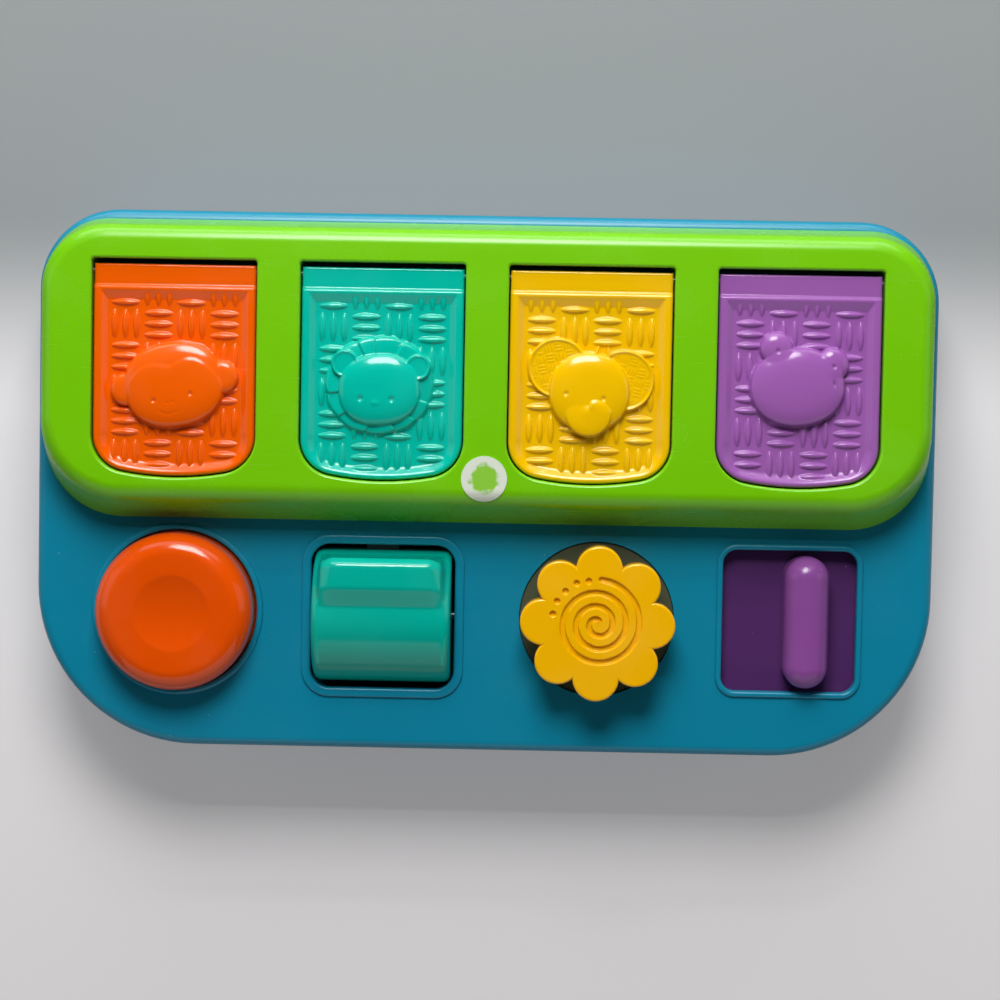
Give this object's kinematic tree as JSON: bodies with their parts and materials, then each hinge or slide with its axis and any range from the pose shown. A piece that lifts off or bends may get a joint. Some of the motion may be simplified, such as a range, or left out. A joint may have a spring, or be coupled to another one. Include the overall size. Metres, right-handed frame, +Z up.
{
  "type": "pop up animal toy",
  "caption": "Low activity box with sprung lids in a raised frame, each freed by its own button, rocker, flower knob or slider.",
  "frame": {"origin": "on the surface the feet stand on, under the middle of the case", "axes": "+X along the row of lids, from the button to the slider; +Y from the controls to the lid hinges; +Z up"},
  "size_m": [0.2824, 0.1694, 0.0581],
  "materials": {
    "case_blue": "moulded, satin",
    "frame_green": "moulded, glossy",
    "orange_plastic": "moulded, glossy",
    "teal_plastic": "moulded, glossy",
    "yellow_plastic": "moulded, glossy",
    "purple_plastic": "moulded, glossy",
    "slider_purple": "moulded, glossy",
    "disc_olive": "moulded, matt",
    "label_paper": "worn printed film",
    "figure_cream": "moulded, satin",
    "latch_black": "moulded acetal, satin",
    "spring_steel": "drawn wire",
    "pin_steel": "ground",
    "screw_steel": "zinc plated",
    "foot_rubber": "soft, matt"
  },
  "bodies": {
    "housing": {"upper_housing": "case_blue", "bottom_cover": "case_blue", "rubber_feet": "foot_rubber", "door_frame": "frame_green", "round_label": "label_paper", "latch_keepers": "latch_black", "slide_keepers": "latch_black", "knob_bridge": "latch_black", "rocker_axle": "pin_steel", "case_screws": "screw_steel", "frame_screws": "screw_steel", "bridge_screws": "screw_steel", "button_latch_spring": "spring_steel", "rocker_latch_spring": "spring_steel", "knob_latch_spring": "spring_steel", "slider_latch_spring": "spring_steel", "button_spring": "spring_steel", "rocker_spring": "spring_steel", "monkey_lid_spring": "spring_steel", "lion_lid_spring": "spring_steel", "elephant_lid_spring": "spring_steel", "hippo_lid_spring": "spring_steel"},
    "button": {"push_button": "orange_plastic"},
    "rocker": {"rocker_switch": "teal_plastic"},
    "knob": {"flower_knob": "yellow_plastic", "knob_disc": "disc_olive", "knob_screw": "screw_steel"},
    "slider": {"slider_grip": "slider_purple", "slider_plate": "slider_purple"},
    "monkey_door": {"monkey_lid": "orange_plastic", "monkey_hinge_pin": "pin_steel", "monkey_figure": "figure_cream"},
    "lion_door": {"lion_lid": "teal_plastic", "lion_hinge_pin": "pin_steel", "lion_figure": "figure_cream"},
    "elephant_door": {"elephant_lid": "yellow_plastic", "elephant_hinge_pin": "pin_steel", "elephant_figure": "figure_cream"},
    "hippo_door": {"hippo_lid": "purple_plastic", "hippo_hinge_pin": "pin_steel", "hippo_figure": "figure_cream"},
    "button_catch": {"button_latch": "latch_black"},
    "rocker_catch": {"rocker_latch": "latch_black"},
    "knob_catch": {"knob_latch": "latch_black"},
    "slider_catch": {"slider_latch": "latch_black"}
  },
  "joints": [
    {"name": "monkey_lid_hinge", "type": "hinge", "parent": "housing", "child": "monkey_door", "pos_m": [-0.0954, 0.0642, 0.0513], "axis": [-1, 0, 0], "range_deg": [0, 92]},
    {"name": "lion_lid_hinge", "type": "hinge", "parent": "housing", "child": "lion_door", "pos_m": [-0.0318, 0.0642, 0.0513], "axis": [-1, 0, 0], "range_deg": [0, 92]},
    {"name": "elephant_lid_hinge", "type": "hinge", "parent": "housing", "child": "elephant_door", "pos_m": [0.0318, 0.0642, 0.0513], "axis": [-1, 0, 0], "range_deg": [0, 92]},
    {"name": "hippo_lid_hinge", "type": "hinge", "parent": "housing", "child": "hippo_door", "pos_m": [0.0954, 0.0642, 0.0513], "axis": [-1, 0, 0], "range_deg": [0, 92]},
    {"name": "button_press", "type": "slide", "parent": "housing", "child": "button", "axis": [0, 0, -1], "range_m": [0, 0.005], "stiffness_N_per_m": 321.6, "springref_m": -0.00302, "deforming": ["button_spring"]},
    {"name": "rocker_turn", "type": "hinge", "parent": "housing", "child": "rocker", "pos_m": [-0.0314, -0.0419, 0.0312], "axis": [1, 0, 0], "range_deg": [0, 30], "stiffness_Nm_per_rad": 0.032, "springref_deg": -17.36, "deforming": ["rocker_spring"]},
    {"name": "knob_turn", "type": "hinge", "parent": "housing", "child": "knob", "pos_m": [0.0356, -0.0414, 0.05], "axis": [0, 0, -1], "range_deg": [0, 35], "stiffness_Nm_per_rad": 0.00145, "springref_deg": -23.32},
    {"name": "slider_slide", "type": "slide", "parent": "housing", "child": "slider", "axis": [-1, 0, 0], "range_m": [0, 0.012], "stiffness_N_per_m": 3.75, "springref_m": -0.008},
    {"name": "button_catch_slide", "type": "slide", "parent": "housing", "child": "button_catch", "axis": [0, -1, 0], "range_m": [0, 0.003], "deforming": ["button_latch_spring"]},
    {"name": "rocker_catch_slide", "type": "slide", "parent": "housing", "child": "rocker_catch", "axis": [0, -1, 0], "range_m": [0, 0.003], "deforming": ["rocker_latch_spring"]},
    {"name": "knob_catch_slide", "type": "slide", "parent": "housing", "child": "knob_catch", "axis": [0, -1, 0], "range_m": [0, 0.003], "deforming": ["knob_latch_spring"]},
    {"name": "slider_catch_slide", "type": "slide", "parent": "housing", "child": "slider_catch", "axis": [0, -1, 0], "range_m": [0, 0.003], "deforming": ["slider_latch_spring"]}
  ],
  "couplings": [
    {"joint": "button_catch_slide", "follows": "button_press", "ratio": 0.6},
    {"joint": "rocker_catch_slide", "follows": "rocker_turn", "m_per_rad": 0.0057295},
    {"joint": "knob_catch_slide", "follows": "knob_turn", "m_per_rad": 0.004911},
    {"joint": "slider_catch_slide", "follows": "slider_slide", "ratio": 0.25}
  ]
}
